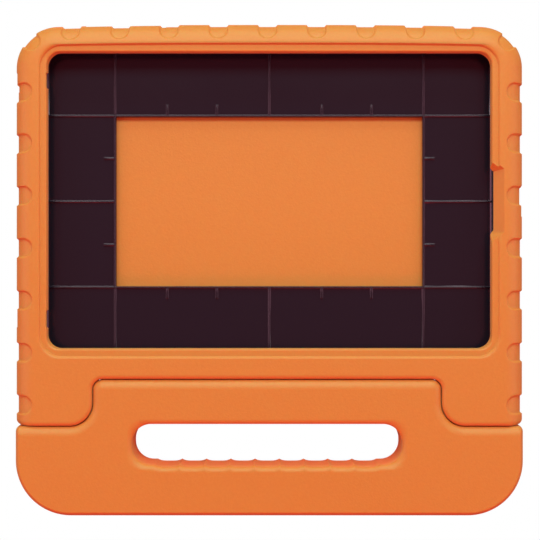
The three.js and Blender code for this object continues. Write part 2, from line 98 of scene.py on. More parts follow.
# The outline: the recess for the handle's tongue lies between two lobes, a little left of the
# middle. The border round it is rounded more softly than the edges of the seam and the back.
HALF_WIDTH = case_high.x
KNUCKLE_RADIUS = hinge.y - case_low.y
CLEAR_RADIUS = KNUCKLE_RADIUS + SEAT_GAP
TONGUE_HALF = 77.0
TONGUE_SHIFT = -1.0
TONGUE_CORNER = 4.5
LOBE_INNER_RADIUS = 10.0
LOBE_CORNER = 2.5
CASE_CORNER = 18.5
BORDER_WIDTH = 9.5
BORDER_DROP = 10.5
BACK_ROUNDING = 1.6
SEAM_ROUNDING = 2.0
UPRIGHT_LEVELS = (5.5, 9.5)
RECESS_Y = hinge.y + CLEAR_RADIUS
SHOULDER_Y = hinge.y - CLEAR_RADIUS

# The notches: shallow grooves across the border, one in each upper corner and the others in rows
# along the top and the sides. Each ends round, at its reach from the outline.
NOTCH_HALF = 4.0
TOP_NOTCH_REACH = 7.3
SIDE_NOTCH_REACH = 8.2
CORNER_NOTCH_REACH = 7.2
NOTCH_DEPTH = 0.9
NOTCH_SLOPE = 0.45
TOP_NOTCHES = 9
TOP_NOTCH_PITCH = 21.8
TOP_NOTCH_SHIFT = -0.8
SIDE_NOTCHES = 7
SIDE_NOTCH_PITCH = 23.15
SIDE_NOTCH_MIDDLE = 9.6

# The top edge bows: its drop at a distance from the middle, and the height at which it begins.
BOW = 1.0
BOW_AT_X = 97.0
BOW_POWER = 3
BOW_FROM_Y = 60.0

# How finely edges, arcs and round bars are shared out.
FINE_STEP = 0.36
POCKET_STEP = 3.0
EDGE_LEVELS = 5
BORDER_LEVELS = 30
ROUND_FACETS = 24
BARREL_FACETS = 128
BORE_FACETS = 48
LEAST_RADIUS = 0.1
NEAR = 0.1
SMOOTH_ANGLE = 35.0


class Corner:
    """One corner of an outline: its place, its rounding and the kind of edge that it starts."""

    def __init__(self, x, y, radius=0.0, edge="all", facets=ROUND_FACETS):
        self.at = Vector((x, y))
        self.radius = radius
        self.edge = edge
        self.facets = facets


def outline(corners, insets):
    """The rounded outline through the corners, with each kind of edge moved inwards."""
    edges = []
    for i, corner in enumerate(corners):
        along = (corners[(i + 1) % len(corners)].at - corner.at).normalized()
        inset = insets.get(corner.edge, 0.0)
        start = corner.at + Vector((-along.y, along.x)) * inset
        edges.append((start, along, inset))
    points = []
    for i, corner in enumerate(corners):
        start_a, along_a, inset_a = edges[i - 1]
        start_b, along_b, inset_b = edges[i]
        across = along_a.cross(along_b)
        reach = (start_b - start_a).cross(along_b) / across
        tip = start_a + along_a * reach
        if corner.radius == 0:
            points.append(tip)
            continue
        turn = math.atan2(across, along_a.dot(along_b))
        radius = max(corner.radius - math.copysign(min(inset_a, inset_b), turn), LEAST_RADIUS)
        side = Vector((-along_a.y, along_a.x)) * math.copysign(radius, turn)
        centre = tip - along_a * (radius * math.tan(abs(turn) / 2)) + side
        for k in range(corner.facets + 1):
            angle = turn * k / corner.facets
            spoke = -side
            turned = Vector(
                (
                    spoke.x * math.cos(angle) - spoke.y * math.sin(angle),
                    spoke.x * math.sin(angle) + spoke.y * math.cos(angle),
                )
            )
            points.append(centre + turned)
    return np.array([tuple(p) for p in points])


def sub_steps(ring, step):
    """How many equal steps each side of a ring takes to stay under the step's length."""
    lengths = np.linalg.norm(np.roll(ring, -1, axis=0) - ring, axis=1)
    return np.maximum(1, np.ceil(lengths / step)).astype(int)


def stepped(ring, counts):
    """The ring with each side shared out into its count of steps."""
    following = np.roll(ring, -1, axis=0)
    shares = [np.arange(count)[:, None] / count for count in counts]
    sides = [a + (b - a) * share for a, b, share in zip(ring, following, shares)]
    return np.concatenate(sides)


def draw_in(z, top, width, drop):
    """How far an edge rounded by a quarter ellipse, ending at the top, draws in at a height."""
    rise = min(max((z - top + drop) / drop, 0.0), 1.0)
    return width * (1 - math.sqrt(1 - rise * rise))


def quarter_turns(count):
    """The angles of a quarter turn in equal steps, with both its ends."""
    return [k / count * math.pi / 2 for k in range(count + 1)]


def full_turns(count):
    """The angles of a full turn in equal steps."""
    return [2 * math.pi * k / count for k in range(count)]


def round_levels(top, drop, count):
    """Heights that share out a quarter ellipse evenly by angle, from its foot to the top."""
    return [top - drop + drop * math.sin(angle) for angle in quarter_turns(count)]


def rings_into(bm, rings):
    """Adds rings of (x, y, z) rows to a mesh, joined by faces, and returns their vertices."""
    made = [[bm.verts.new(Vector(p) * MM) for p in ring] for ring in rings]
    for low, high in zip(made, made[1:]):
        for i in range(len(low)):
            j = (i + 1) % len(low)
            bm.faces.new((low[i], low[j], high[j], high[i]))
    return made


def ring_edges(bm, ring):
    """The edges that join a ring's vertices."""
    return [bm.edges.get((ring[i - 1], ring[i])) for i in range(len(ring))]


def at_height(points, z):
    """A ring of (x, y, z) rows from plan points."""
    return [(x, y, z) for x, y in points]


def mesh_object(name, bm):
    """Makes the finished mesh an object of the scene, smooth but for its sharp edges."""
    bmesh.ops.recalc_face_normals(bm, faces=bm.faces)
    mesh = bpy.data.meshes.new(name)
    bm.to_mesh(mesh)
    bm.free()
    obj = bpy.data.objects.new(name, mesh)
    bpy.context.scene.collection.objects.link(obj)
    smooth(obj, SMOOTH_ANGLE)
    return obj


def smooth(obj, angle):
    """Shades an object smooth, but for edges that turn by more than the angle in degrees."""
    obj.data.polygons.foreach_set("use_smooth", [True] * len(obj.data.polygons))
    obj.data.set_sharp_from_angle(angle=math.radians(angle))


def applied(obj):
    """Applies the object's modifiers to its mesh."""
    bpy.context.view_layer.update()
    evaluated = obj.evaluated_get(bpy.context.evaluated_depsgraph_get())
    mesh = bpy.data.meshes.new_from_object(evaluated)
    obj.modifiers.clear()
    old = obj.data
    obj.data = mesh
    bpy.data.meshes.remove(old)


def finished(obj, material):
    """Gives a cut piece its material, and normals that keep its flat faces flat."""
    smooth(obj, SMOOTH_ANGLE)
    modifier = obj.modifiers.new("flat_faces", "WEIGHTED_NORMAL")
    modifier.keep_sharp = True
    applied(obj)
    obj.data.materials.clear()
    obj.data.materials.append(material)


def closed_rings(bm, rings):
    """Adds rings to a mesh as one closed solid, with a face at each end."""
    made = rings_into(bm, rings)
    bm.faces.new(reversed(made[0]))
    bm.faces.new(made[-1])


def solid(name, rings):
    """A closed solid through the rings, from one end to the other."""
    bm = bmesh.new()
    closed_rings(bm, rings)
    return mesh_object(name, bm)


def lofted(name, levels):
    """A closed solid through level outlines, given as (points, z), from the lowest up."""
    return solid(name, [at_height(points, z) for points, z in levels])


def block(name, low, high):
    """A closed box between two corners."""
    x0, y0, z0 = low
    x1, y1, z1 = high
    base = [(x0, y0), (x1, y0), (x1, y1), (x0, y1)]
    return lofted(name, [(base, z0), (base, z1)])


def hinge_ring(x, radius, facets):
    """A ring of points round the hinge line, at one place along it."""
    turns = full_turns(facets)
    return [(x, hinge.y + radius * math.cos(a), hinge.z + radius * math.sin(a)) for a in turns]


def hinge_bar(name, radius, x0, x1, facets=BARREL_FACETS):
    """A closed round bar along the hinge line."""
    return solid(name, [hinge_ring(x, radius, facets) for x in sorted((x0, x1))])


def cut(obj, tool, operation="DIFFERENCE"):
    """Applies one boolean to a piece and removes the tool."""
    modifier = obj.modifiers.new("cut", "BOOLEAN")
    modifier.solver = "MANIFOLD"
    modifier.operation = operation
    modifier.object = tool
    applied(obj)
    bpy.data.objects.remove(tool)
    return obj


def rectangle(low, high, radius, facets=ROUND_FACETS):
    """The corners of a rounded rectangle."""
    places = [(low[0], low[1]), (high[0], low[1]), (high[0], high[1]), (low[0], high[1])]
    return [Corner(x, y, radius, facets=facets) for x, y in places]


def case_corners():
    """The case's outline with its two lobes and the recess for the handle's tongue."""
    left_face = TONGUE_SHIFT - TONGUE_HALF - SEAT_GAP
    right_face = TONGUE_SHIFT + TONGUE_HALF + SEAT_GAP
    recess_radius = TONGUE_CORNER + SEAT_GAP
    return [
        Corner(-HALF_WIDTH, case_low.y, LOBE_CORNER, "seam", 10),
        Corner(left_face, case_low.y, LOBE_INNER_RADIUS, "seam"),
        Corner(left_face, RECESS_Y, recess_radius, "seam", 12),
        Corner(right_face, RECESS_Y, recess_radius, "seam", 12),
        Corner(right_face, case_low.y, LOBE_INNER_RADIUS, "seam"),
        Corner(HALF_WIDTH, case_low.y, LOBE_CORNER, "border", 10),
        Corner(HALF_WIDTH, case_high.y, CASE_CORNER, "border", 56),
        Corner(-HALF_WIDTH, case_high.y, CASE_CORNER, "border", 56),
    ]


def notch_places():
    """Each notch: the point on the edge where it starts, its way in, and its reach."""
    places = []
    for k in range(TOP_NOTCHES):
        x = TOP_NOTCH_SHIFT + (k - (TOP_NOTCHES - 1) / 2) * TOP_NOTCH_PITCH
        places.append((Vector((x, case_high.y)), Vector((0, -1)), TOP_NOTCH_REACH))
    for k in range(SIDE_NOTCHES):
        y = SIDE_NOTCH_MIDDLE + (k - (SIDE_NOTCHES - 1) / 2) * SIDE_NOTCH_PITCH
        for side in (-1, 1):
            start = Vector((side * HALF_WIDTH, y))
            places.append((start, Vector((-side, 0)), SIDE_NOTCH_REACH))
    inset = CASE_CORNER * (1 - math.sqrt(0.5))
    for side in (-1, 1):
        start = Vector((side * (HALF_WIDTH - inset), case_high.y - inset))
        inwards = Vector((-side, -1)).normalized()
        places.append((start, inwards, CORNER_NOTCH_REACH))
    return places


def notch_share(points):
    """How deep in a notch each plan point is, from 0 outside to 1 on a notch's floor."""
    share = np.zeros(len(points))
    for start, inwards, reach in notch_places():
        offset = points - np.array(start)
        inward = offset @ np.array(inwards)
        sideways = offset @ np.array((-inwards.y, inwards.x))
        past = np.maximum(inward - (reach - NOTCH_HALF), 0)
        outside = np.hypot(sideways, past) - NOTCH_HALF
        ramp = np.clip((NOTCH_SLOPE - outside) / (2 * NOTCH_SLOPE), 0, 1)
        share = np.maximum(share, ramp * ramp * (3 - 2 * ramp))
    return share


def bowed(points):
    """Lets the top edge of the soft border bow: its corners lie a little lower than its middle."""
    share = np.clip((points[:, 1] - BOW_FROM_Y) / (case_high.y - BOW_FROM_Y), 0, 1)
    drop = BOW * np.abs(points[:, 0] / BOW_AT_X) ** BOW_POWER * share
    return np.column_stack([points[:, 0], points[:, 1] - drop])


def case_side_rings():
    """The case's outer side, from the back's edge up round the border to the front face."""
    corners = case_corners()
    base = outline(corners, {})
    counts = sub_steps(base, FINE_STEP)
    by_seam = base[:, 1] < RECESS_Y + NEAR
    inside = np.abs(base[:, 0]) < HALF_WIDTH - NEAR
    counts[by_seam & np.roll(by_seam, -1) & inside] = 1
    foot = stepped(base, counts)
    inner = stepped(outline(corners, {"border": 1.0}), counts)
    outward = foot - inner
    outward /= np.maximum(np.linalg.norm(outward, axis=1), 1e-6)[:, None]
    heights = [BACK_ROUNDING * (1 - math.cos(angle)) for angle in quarter_turns(EDGE_LEVELS)]
    heights += UPRIGHT_LEVELS
    heights += round_levels(FRONT_Z, BORDER_DROP, BORDER_LEVELS)
    rings = []
    for z in heights:
        rise = min(max((z - FRONT_Z + BORDER_DROP) / BORDER_DROP, 0), 1)
        border = draw_in(z, FRONT_Z, BORDER_WIDTH, BORDER_DROP)
        border += draw_in(-z, 0, BACK_ROUNDING, BACK_ROUNDING)
        seam = draw_in(z, FRONT_Z, SEAM_ROUNDING, SEAM_ROUNDING)
        points = stepped(outline(corners, {"border": border, "seam": seam}), counts)
        sink = NOTCH_DEPTH * notch_share(points)
        across = math.sqrt(1 - rise * rise)
        sunk = points - outward * (sink * across)[:, None]
        rings.append(np.column_stack([bowed(sunk), z - sink * rise]))
    return rings


# The pocket: a step down from the front face, the lip with its mouth, and a wall behind the lip
# that goes down to the foam floor. The step's foot is given as insets and rises.
LIP_FRONT_Z = FRONT_Z - 1.2
LIP_BACK_Z = 19.3
FLOOR_Z = tray_low.z - SEAT_GAP
MOUTH_INSET = 3.7
MOUTH_FLARE = 0.3
MOUTH_CORNER = 6.2
STEP_INSET = 0.5
STEP_CORNER = 9.7
STEP_ROUNDING = 0.9
STEP_FOOT = ((0.15, 0.08), (0.35, 0.0))
LIP_ROUNDING = 0.7
LIP_BACK_BEVEL = 0.3
POCKET_CORNER = 8.2
POCKET_LOW = (tray_low.x - SEAT_GAP, tray_low.y - SEAT_GAP)
POCKET_HIGH = (tray_high.x + SEAT_GAP, tray_high.y + SEAT_GAP)


def pocket_rings():
    """The step, the lip, its mouth and the pocket's wall, from the front face down to the floor."""
    step_low = (POCKET_LOW[0] + STEP_INSET, POCKET_LOW[1])
    step_high = (POCKET_HIGH[0] - STEP_INSET, POCKET_HIGH[1])
    step = rectangle(step_low, step_high, STEP_CORNER)
    mouth_low = (POCKET_LOW[0] + MOUTH_INSET, POCKET_LOW[1] + MOUTH_INSET)
    mouth_high = (POCKET_HIGH[0] - MOUTH_INSET, POCKET_HIGH[1] - MOUTH_INSET)
    mouth = rectangle(mouth_low, mouth_high, MOUTH_CORNER)
    pocket = rectangle(POCKET_LOW, POCKET_HIGH, POCKET_CORNER)
    counts = sub_steps(outline(step, {}), POCKET_STEP)
    rings = []

    def ring(corners, inset, z):
        points = stepped(outline(corners, {"all": inset}), counts)
        if corners is step:
            points = bowed(points)
        rings.append(at_height(points, z))

    for angle in quarter_turns(EDGE_LEVELS):
        inset = -STEP_ROUNDING * (1 - math.sin(angle))
        ring(step, inset, FRONT_Z - STEP_ROUNDING * (1 - math.cos(angle)))
    for inset, rise in STEP_FOOT:
        ring(step, inset, LIP_FRONT_Z + rise)
    for angle in quarter_turns(EDGE_LEVELS):
        inset = -MOUTH_FLARE - LIP_ROUNDING * (1 - math.sin(angle))
        ring(mouth, inset, LIP_FRONT_Z - LIP_ROUNDING * (1 - math.cos(angle)))
    ring(mouth, 0, LIP_BACK_Z + LIP_BACK_BEVEL)
    ring(mouth, -LIP_BACK_BEVEL, LIP_BACK_Z)
    ring(pocket, 0, LIP_BACK_Z)
    ring(pocket, 0, FLOOR_Z)
    return rings


bm = bmesh.new()
side = rings_into(bm, case_side_rings())
pocket = rings_into(bm, pocket_rings())
bm.faces.new(side[0])
bm.faces.new(pocket[-1])
bmesh.ops.triangle_fill(
    bm, edges=ring_edges(bm, side[-1]) + ring_edges(bm, pocket[0]), use_beauty=True
)
foam_case = mesh_object("foam_case", bm)

# The thumb relief in the lip's right side, two shallow bites in its left side, and the openings
# for the tablet's buttons and plugs. Those in the sides are placed from the pocket's middle.
RELIEF_BASE_X = 99.2
RELIEF_TOP_X = 103.8
RELIEF_BASE_HALF = 12.9
RELIEF_TOP_HALF = 14.0
RELIEF_INNER_X = 90.0
RELIEF_INNER_HALF = 24.5
LIP_BITE = 0.7
LIP_BITE_FACETS = 6
LIP_BITES = ((83.7, 3.5), (-21.8, 4.0))
POCKET_Y = (tray_low.y + tray_high.y) / 2
PORT_LOW = 13.05
PORT_HIGH = 18.05
POWER_PORT = (48.3, 57.3)
HEADPHONE_PORT = (-56.4, -48.4)
CHARGE_PORT_HALF = 7.0
VOLUME_PORT = (-82.0, -46.0)


def relief(outer_x, outer_half):
    """The thumb relief's outline at one height, given by its outer edge."""
    places = [
        (RELIEF_INNER_X, -RELIEF_INNER_HALF),
        (outer_x, -outer_half),
        (outer_x, outer_half),
        (RELIEF_INNER_X, RELIEF_INNER_HALF),
    ]
    return [(x, POCKET_Y + y) for x, y in places]


cut(
    foam_case,
    lofted(
        "thumb_relief",
        [
            (relief(RELIEF_BASE_X, RELIEF_BASE_HALF), LIP_BACK_Z - SEAT_GAP),
            (relief(RELIEF_TOP_X, RELIEF_TOP_HALF), FRONT_Z + SEAT_GAP),
        ],
    ),
)
for y, reach in LIP_BITES:
    x = POCKET_LOW[0] + MOUTH_INSET
    low, high = (x - LIP_BITE, y - reach), (x + PAST, y + reach)
    plan = outline(rectangle(low, high, LIP_BITE, LIP_BITE_FACETS), {})
    cut(foam_case, lofted("bite", [(plan, LIP_BACK_Z - SEAT_GAP), (plan, FRONT_Z + SEAT_GAP)]))
for name, low, high in (
    ("power", (-HALF_WIDTH - PAST, POCKET_Y + POWER_PORT[0]), (tray_low.x, POCKET_Y + POWER_PORT[1])),
    (
        "headphone",
        (-HALF_WIDTH - PAST, POCKET_Y + HEADPHONE_PORT[0]),
        (tray_low.x, POCKET_Y + HEADPHONE_PORT[1]),
    ),
    (
        "charge",
        (tray_high.x, POCKET_Y - CHARGE_PORT_HALF),
        (HALF_WIDTH + PAST, POCKET_Y + CHARGE_PORT_HALF),
    ),
    ("volume", (VOLUME_PORT[0], tray_high.y), (VOLUME_PORT[1], case_high.y + PAST)),
):
    cut(foam_case, block(name, (*low, PORT_LOW), (*high, PORT_HIGH)))

# The hinge's bores, by their radii and depths or places along the hinge line. A plug closes each
# end of the rod's bore.
ROD_BORE = 2.3
BUSH_BORE = 3.8
BUSH_BORE_DEPTH = 20.4
FLANGE_BORE = 4.8
FLANGE_BORE_DEPTH = 2.4
PLUG_BORE = 3.5
PLUG_BORE_X = 100.0
PLUG_HEAD_BORE = 4.5
PLUG_HEAD_X = 110.5
KNUCKLE_LENGTH = 15.0

lobe_slab = block(
    "lobe_slab",
    (-HALF_WIDTH - PAST, SHOULDER_Y - PAST, -PAST),
    (HALF_WIDTH + PAST, hinge.y, hinge.z),
)
cut(
    lobe_slab,
    hinge_bar("barrel", KNUCKLE_RADIUS, -HALF_WIDTH - 2 * PAST, HALF_WIDTH + 2 * PAST),
)
cut(foam_case, lobe_slab)
for direction in (-1, 1):
    face = TONGUE_SHIFT + direction * (TONGUE_HALF + SEAT_GAP)
    barrel = hinge_bar("barrel", KNUCKLE_RADIUS, face, face + direction * KNUCKLE_LENGTH)
    limits = block("limits", (-HALF_WIDTH, SHOULDER_Y, 0), (HALF_WIDTH, hinge.y + PAST, FRONT_Z))
    cut(foam_case, cut(barrel, limits, "INTERSECT"), "UNION")
    for radius, near, far in (
        (FLANGE_BORE, face - direction * PAST, face + direction * FLANGE_BORE_DEPTH),
        (BUSH_BORE, face, face + direction * BUSH_BORE_DEPTH),
        (ROD_BORE, face, direction * (PLUG_BORE_X + SEAT_GAP)),
        (PLUG_BORE, direction * PLUG_BORE_X, direction * PLUG_HEAD_X),
        (PLUG_HEAD_BORE, direction * PLUG_HEAD_X, direction * (HALF_WIDTH + PAST)),
    ):
        cut(foam_case, hinge_bar("bore", radius, near, far, BORE_FACETS))
cut(
    foam_case,
    block(
        "recess_back",
        (TONGUE_SHIFT - TONGUE_HALF - SEAT_GAP, hinge.y, -PAST),
        (TONGUE_SHIFT + TONGUE_HALF + SEAT_GAP, RECESS_Y, hinge.z),
    ),
)


def set_input(node, name, value):
    """Sets one of a node's inputs."""
    node.inputs[name].default_value = value


def foam_grain_group():
    """Fine grain of moulded foam skin: a height for bump and a faint unevenness of tone."""
    group = bpy.data.node_groups.new("foam_grain", "ShaderNodeTree")
    group.interface.new_socket("Grain Size", in_out="INPUT", socket_type="NodeSocketFloat")
    group.interface.new_socket("Height", in_out="OUTPUT", socket_type="NodeSocketFloat")
    group.interface.new_socket("Tone", in_out="OUTPUT", socket_type="NodeSocketFloat")
    nodes, links = group.nodes, group.links
    given = nodes.new("NodeGroupInput")
    out = nodes.new("NodeGroupOutput")
    place = nodes.new("ShaderNodeTexCoord")
    cells = nodes.new("ShaderNodeTexVoronoi")
    cells.feature = "SMOOTH_F1"
    noise = nodes.new("ShaderNodeTexNoise")
    set_input(noise, "Detail", 4.0)
    clouds = nodes.new("ShaderNodeTexNoise")
    set_input(clouds, "Scale", 700.0)
    set_input(clouds, "Detail", 3.0)
    mix = nodes.new("ShaderNodeMath")
    mix.operation = "ADD"
    links.new(place.outputs["Object"], cells.inputs["Vector"])
    links.new(place.outputs["Object"], noise.inputs["Vector"])
    links.new(place.outputs["Object"], clouds.inputs["Vector"])
    links.new(given.outputs["Grain Size"], cells.inputs["Scale"])
    links.new(given.outputs["Grain Size"], noise.inputs["Scale"])
    links.new(cells.outputs["Distance"], mix.inputs[0])
    links.new(noise.outputs["Fac"], mix.inputs[1])
    links.new(mix.outputs["Value"], out.inputs["Height"])
    links.new(clouds.outputs["Fac"], out.inputs["Tone"])
    return group


foam_grain = foam_grain_group()
FOAM_COLOUR = (0.79, 0.225, 0.055, 1.0)
FOAM_DEEP = (0.74, 0.195, 0.047, 1.0)


def foam_material():
    """Orange closed-cell foam: matt, faintly velvety at a slant, a little light passes in."""
    material = bpy.data.materials.new("orange_foam")
    material.use_nodes = True
    nodes, links = material.node_tree.nodes, material.node_tree.links
    shader = nodes["Principled BSDF"]
    grain = nodes.new("ShaderNodeGroup")
    grain.node_tree = foam_grain
    set_input(grain, "Grain Size", 1300.0)
    tone = nodes.new("ShaderNodeMix")
    tone.data_type = "RGBA"
    tone.inputs["A"].default_value = FOAM_DEEP
    tone.inputs["B"].default_value = FOAM_COLOUR
    bump = nodes.new("ShaderNodeBump")
    set_input(bump, "Strength", 0.2)
    set_input(bump, "Distance", 0.0002)
    links.new(grain.outputs["Tone"], tone.inputs["Factor"])
    links.new(tone.outputs["Result"], shader.inputs["Base Color"])
    links.new(grain.outputs["Height"], bump.inputs["Height"])
    links.new(bump.outputs["Normal"], shader.inputs["Normal"])
    set_input(shader, "Roughness", 0.5)
    set_input(shader, "Specular IOR Level", 0.4)
    set_input(shader, "Subsurface Weight", 0.3)
    set_input(shader, "Subsurface Scale", 0.001)
    set_input(shader, "Subsurface Radius", (1.0, 0.25, 0.1))
    set_input(shader, "Sheen Weight", 0.25)
    set_input(shader, "Sheen Roughness", 0.4)
    set_input(shader, "Sheen Tint", (1.0, 0.85, 0.5, 1.0))
    return material


orange_foam = foam_material()
finished(foam_case, orange_foam)
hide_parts("case_foam")
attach(foam_case, "case")

# The foam handle: a second moulding of the same foam. Its tongue lies between the case's lobes
# on the hinge rod, and its slot has shallow dips for the fingers.
# Its seam edge is rounded more than its outer one.
HANDLE_CORNER = 25.0
HANDLE_ROUNDING = 2.0
HANDLE_EDGE_WIDTH = 2.8
HANDLE_SEAM_WIDTH = 4.4
HANDLE_SEAM_DROP = 3.0
SLOT_HALF = 59.85
SLOT_TOP_Y = hinge.y - 9.45
SLOT_BOTTOM_Y = SLOT_TOP_Y - 18.0
SLOT_ROUNDING = 2.3
FINGER_DIPS = 9
FINGER_PITCH = 11.05
FINGER_DEPTH = 0.9
DIP_STEPS = 16
DIP_POWER = 4
SLOT_TOP_RADIUS = 8.6
SLOT_BOTTOM_RADIUS = 8.4
HANDLE_LEVELS = 12
SLOT_LEVELS = 8
TONGUE_END_LEVELS = 12


def handle_corners():
    """The handle's outline with its tongue between the lobes."""
    left_face = TONGUE_SHIFT - TONGUE_HALF
    right_face = TONGUE_SHIFT + TONGUE_HALF
    shoulder = LOBE_INNER_RADIUS + SEAT_GAP
    return [
        Corner(-HALF_WIDTH, handle_low.y, HANDLE_CORNER, "outer", 40),
        Corner(HALF_WIDTH, handle_low.y, HANDLE_CORNER, "outer", 40),
        Corner(HALF_WIDTH, SHOULDER_Y, LOBE_CORNER, "seam", 10),
        Corner(right_face, SHOULDER_Y, shoulder, "seam"),
        Corner(right_face, handle_high.y, TONGUE_CORNER, "seam", 12),
        Corner(left_face, handle_high.y, TONGUE_CORNER, "seam", 12),
        Corner(left_face, SHOULDER_Y, shoulder, "seam"),
        Corner(-HALF_WIDTH, SHOULDER_Y, LOBE_CORNER, "outer", 10),
    ]


def slot_corners():
    """The finger slot's outline, with a row of shallow dips along its lower side."""
    corners = [Corner(TONGUE_SHIFT - SLOT_HALF, SLOT_BOTTOM_Y, SLOT_BOTTOM_RADIUS)]
    start = TONGUE_SHIFT - FINGER_DIPS / 2 * FINGER_PITCH
    for k in range(FINGER_DIPS * DIP_STEPS + 1):
        share = k % DIP_STEPS / DIP_STEPS
        dip = FINGER_DEPTH * (1 - (2 * share - 1) ** DIP_POWER)
        corners.append(Corner(start + k / DIP_STEPS * FINGER_PITCH, SLOT_BOTTOM_Y - dip))
    corners.append(Corner(TONGUE_SHIFT + SLOT_HALF, SLOT_BOTTOM_Y, SLOT_BOTTOM_RADIUS))
    corners.append(Corner(TONGUE_SHIFT + SLOT_HALF, SLOT_TOP_Y, SLOT_TOP_RADIUS))
    corners.append(Corner(TONGUE_SHIFT - SLOT_HALF, SLOT_TOP_Y, SLOT_TOP_RADIUS))
    return corners


def edge_heights(back, front_drop, count):
    """Heights from the back face, round both edges, to the front face."""
    low = [back * (1 - math.cos(angle)) for angle in quarter_turns(EDGE_LEVELS)]
    return low + round_levels(FRONT_Z, front_drop, count)


def handle_side_rings():
    """The handle's outer side, from its back's edge up to its front face."""
    corners = handle_corners()
    rings = []
    border = round_levels(FRONT_Z, BORDER_DROP, HANDLE_LEVELS)
    side = [z for z in border if z < FRONT_Z - HANDLE_SEAM_DROP]
    heights = edge_heights(HANDLE_ROUNDING, HANDLE_SEAM_DROP, HANDLE_LEVELS)
    for z in sorted(heights + side):
        outer = draw_in(z, FRONT_Z, HANDLE_EDGE_WIDTH, BORDER_DROP)
        outer += draw_in(-z, 0, HANDLE_ROUNDING, HANDLE_ROUNDING)
        seam = draw_in(z, FRONT_Z, HANDLE_SEAM_WIDTH, HANDLE_SEAM_DROP)
        rings.append(at_height(outline(corners, {"outer": outer, "seam": seam}), z))
    return rings


def slot_rings():
    """The finger slot's wall, rounded at both its edges."""
    corners = slot_corners()
    rings = []
    for z in edge_heights(HANDLE_ROUNDING, SLOT_ROUNDING, SLOT_LEVELS):
        wide = draw_in(z, FRONT_Z, SLOT_ROUNDING, SLOT_ROUNDING)
        wide += draw_in(-z, 0, HANDLE_ROUNDING, HANDLE_ROUNDING)
        rings.append(at_height(outline(corners, {"all": -wide}), z))
    return rings


bm = bmesh.new()
side = rings_into(bm, handle_side_rings())
slot = rings_into(bm, slot_rings())
for level in (0, -1):
    loops = ring_edges(bm, side[level]) + ring_edges(bm, slot[level])
    bmesh.ops.triangle_fill(bm, edges=loops, use_beauty=True)
foam_handle = mesh_object("foam_handle", bm)


def hinge_prism(name, section, x0, x1):
    """A closed prism along the hinge line, from its (y, z) section."""
    return solid(name, [[(x, y, z) for y, z in section] for x in sorted((x0, x1))])


def lobe_room_section():
    """The (y, z) section of the room that the handle leaves for a lobe."""
    section = []
    for angle in quarter_turns(EDGE_LEVELS):
        y = SHOULDER_Y - HANDLE_ROUNDING * (1 - math.cos(angle))
        section.append((y, HANDLE_ROUNDING * (1 - math.sin(angle))))
    section.append((SHOULDER_Y - HANDLE_ROUNDING, -PAST))
    section.append((handle_high.y, -PAST))
    section.append((handle_high.y, hinge.z))
    section.append((SHOULDER_Y, hinge.z))
    return section


for direction in (-1, 1):
    face = TONGUE_SHIFT + direction * TONGUE_HALF
    outer = direction * (HALF_WIDTH + PAST)
    room = hinge_prism("lobe_room", lobe_room_section(), face, outer)
    cut(room, hinge_bar("barrel_room", CLEAR_RADIUS, face, outer), "UNION")
    cut(foam_handle, room)


def tongue_barrel():
    """The tongue's round back, a barrel with rounded ends about the hinge line."""
    profile = []
    for angle in quarter_turns(TONGUE_END_LEVELS):
        radius = KNUCKLE_RADIUS - TONGUE_CORNER * (1 - math.sin(angle))
        profile.append((radius, -TONGUE_HALF + TONGUE_CORNER * (1 - math.cos(angle))))
    profile += [(radius, -along) for radius, along in reversed(profile)]
    rings = [hinge_ring(TONGUE_SHIFT + along, radius, BARREL_FACETS) for radius, along in profile]
    return solid("tongue_barrel", rings)


tongue_slab = block(
    "tongue_slab",
    (TONGUE_SHIFT - TONGUE_HALF - PAST, hinge.y, -PAST),
    (TONGUE_SHIFT + TONGUE_HALF + PAST, handle_high.y + PAST, hinge.z),
)
cut(tongue_slab, tongue_barrel())
cut(foam_handle, tongue_slab)
rod_end = TONGUE_HALF + PAST
rod_bore = hinge_bar("bore", ROD_BORE, TONGUE_SHIFT - rod_end, TONGUE_SHIFT + rod_end, BORE_FACETS)
cut(foam_handle, rod_bore)
for direction in (-1, 1):
    face = TONGUE_SHIFT + direction * TONGUE_HALF
    for radius, depth, past in (
        (FLANGE_BORE, FLANGE_BORE_DEPTH, PAST),
        (BUSH_BORE, BUSH_BORE_DEPTH, 0.0),
    ):
        ends = (face - direction * depth, face + direction * past)
        cut(foam_handle, hinge_bar("bore", radius, *ends, BORE_FACETS))
finished(foam_handle, orange_foam)
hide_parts("handle_foam")
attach(foam_handle, "handle")

# The inner tray: one injection moulding of black plastic, a shallow pan with a grid of ribs,
# short ticks and a window, that lies loose on the pocket's foam floor.
# Its foot is given as insets and rises, and its rim as insets and drops.
TRAY_CORNER = 7.9
TRAY_WALL = 1.2
TRAY_TOP = tray_low.z + 1.5
TRAY_FACETS = 16
TRAY_FOOT = ((0.5, 0.0), (0.15, 0.15), (0.0, 0.5))
TRAY_RIM = ((0.0, 0.25), (0.08, 0.07), (0.3, 0.0), (TRAY_WALL - 0.3, 0.0), (TRAY_WALL, 0.3))
RIM_FILLET = 1.5
FILLET_LEVELS = 8
RIB_WIDTH = 1.0
RIB_CROWN = 0.46
RIB_FOOT = 0.2
RIB_ROOT = 0.5
RIB_SIDE = 0.12
RIB_END_GAP = 0.4
RIB_LEVELS = 8
RIB_HEIGHT = 0.7
FRAME_HEIGHT = 1.0

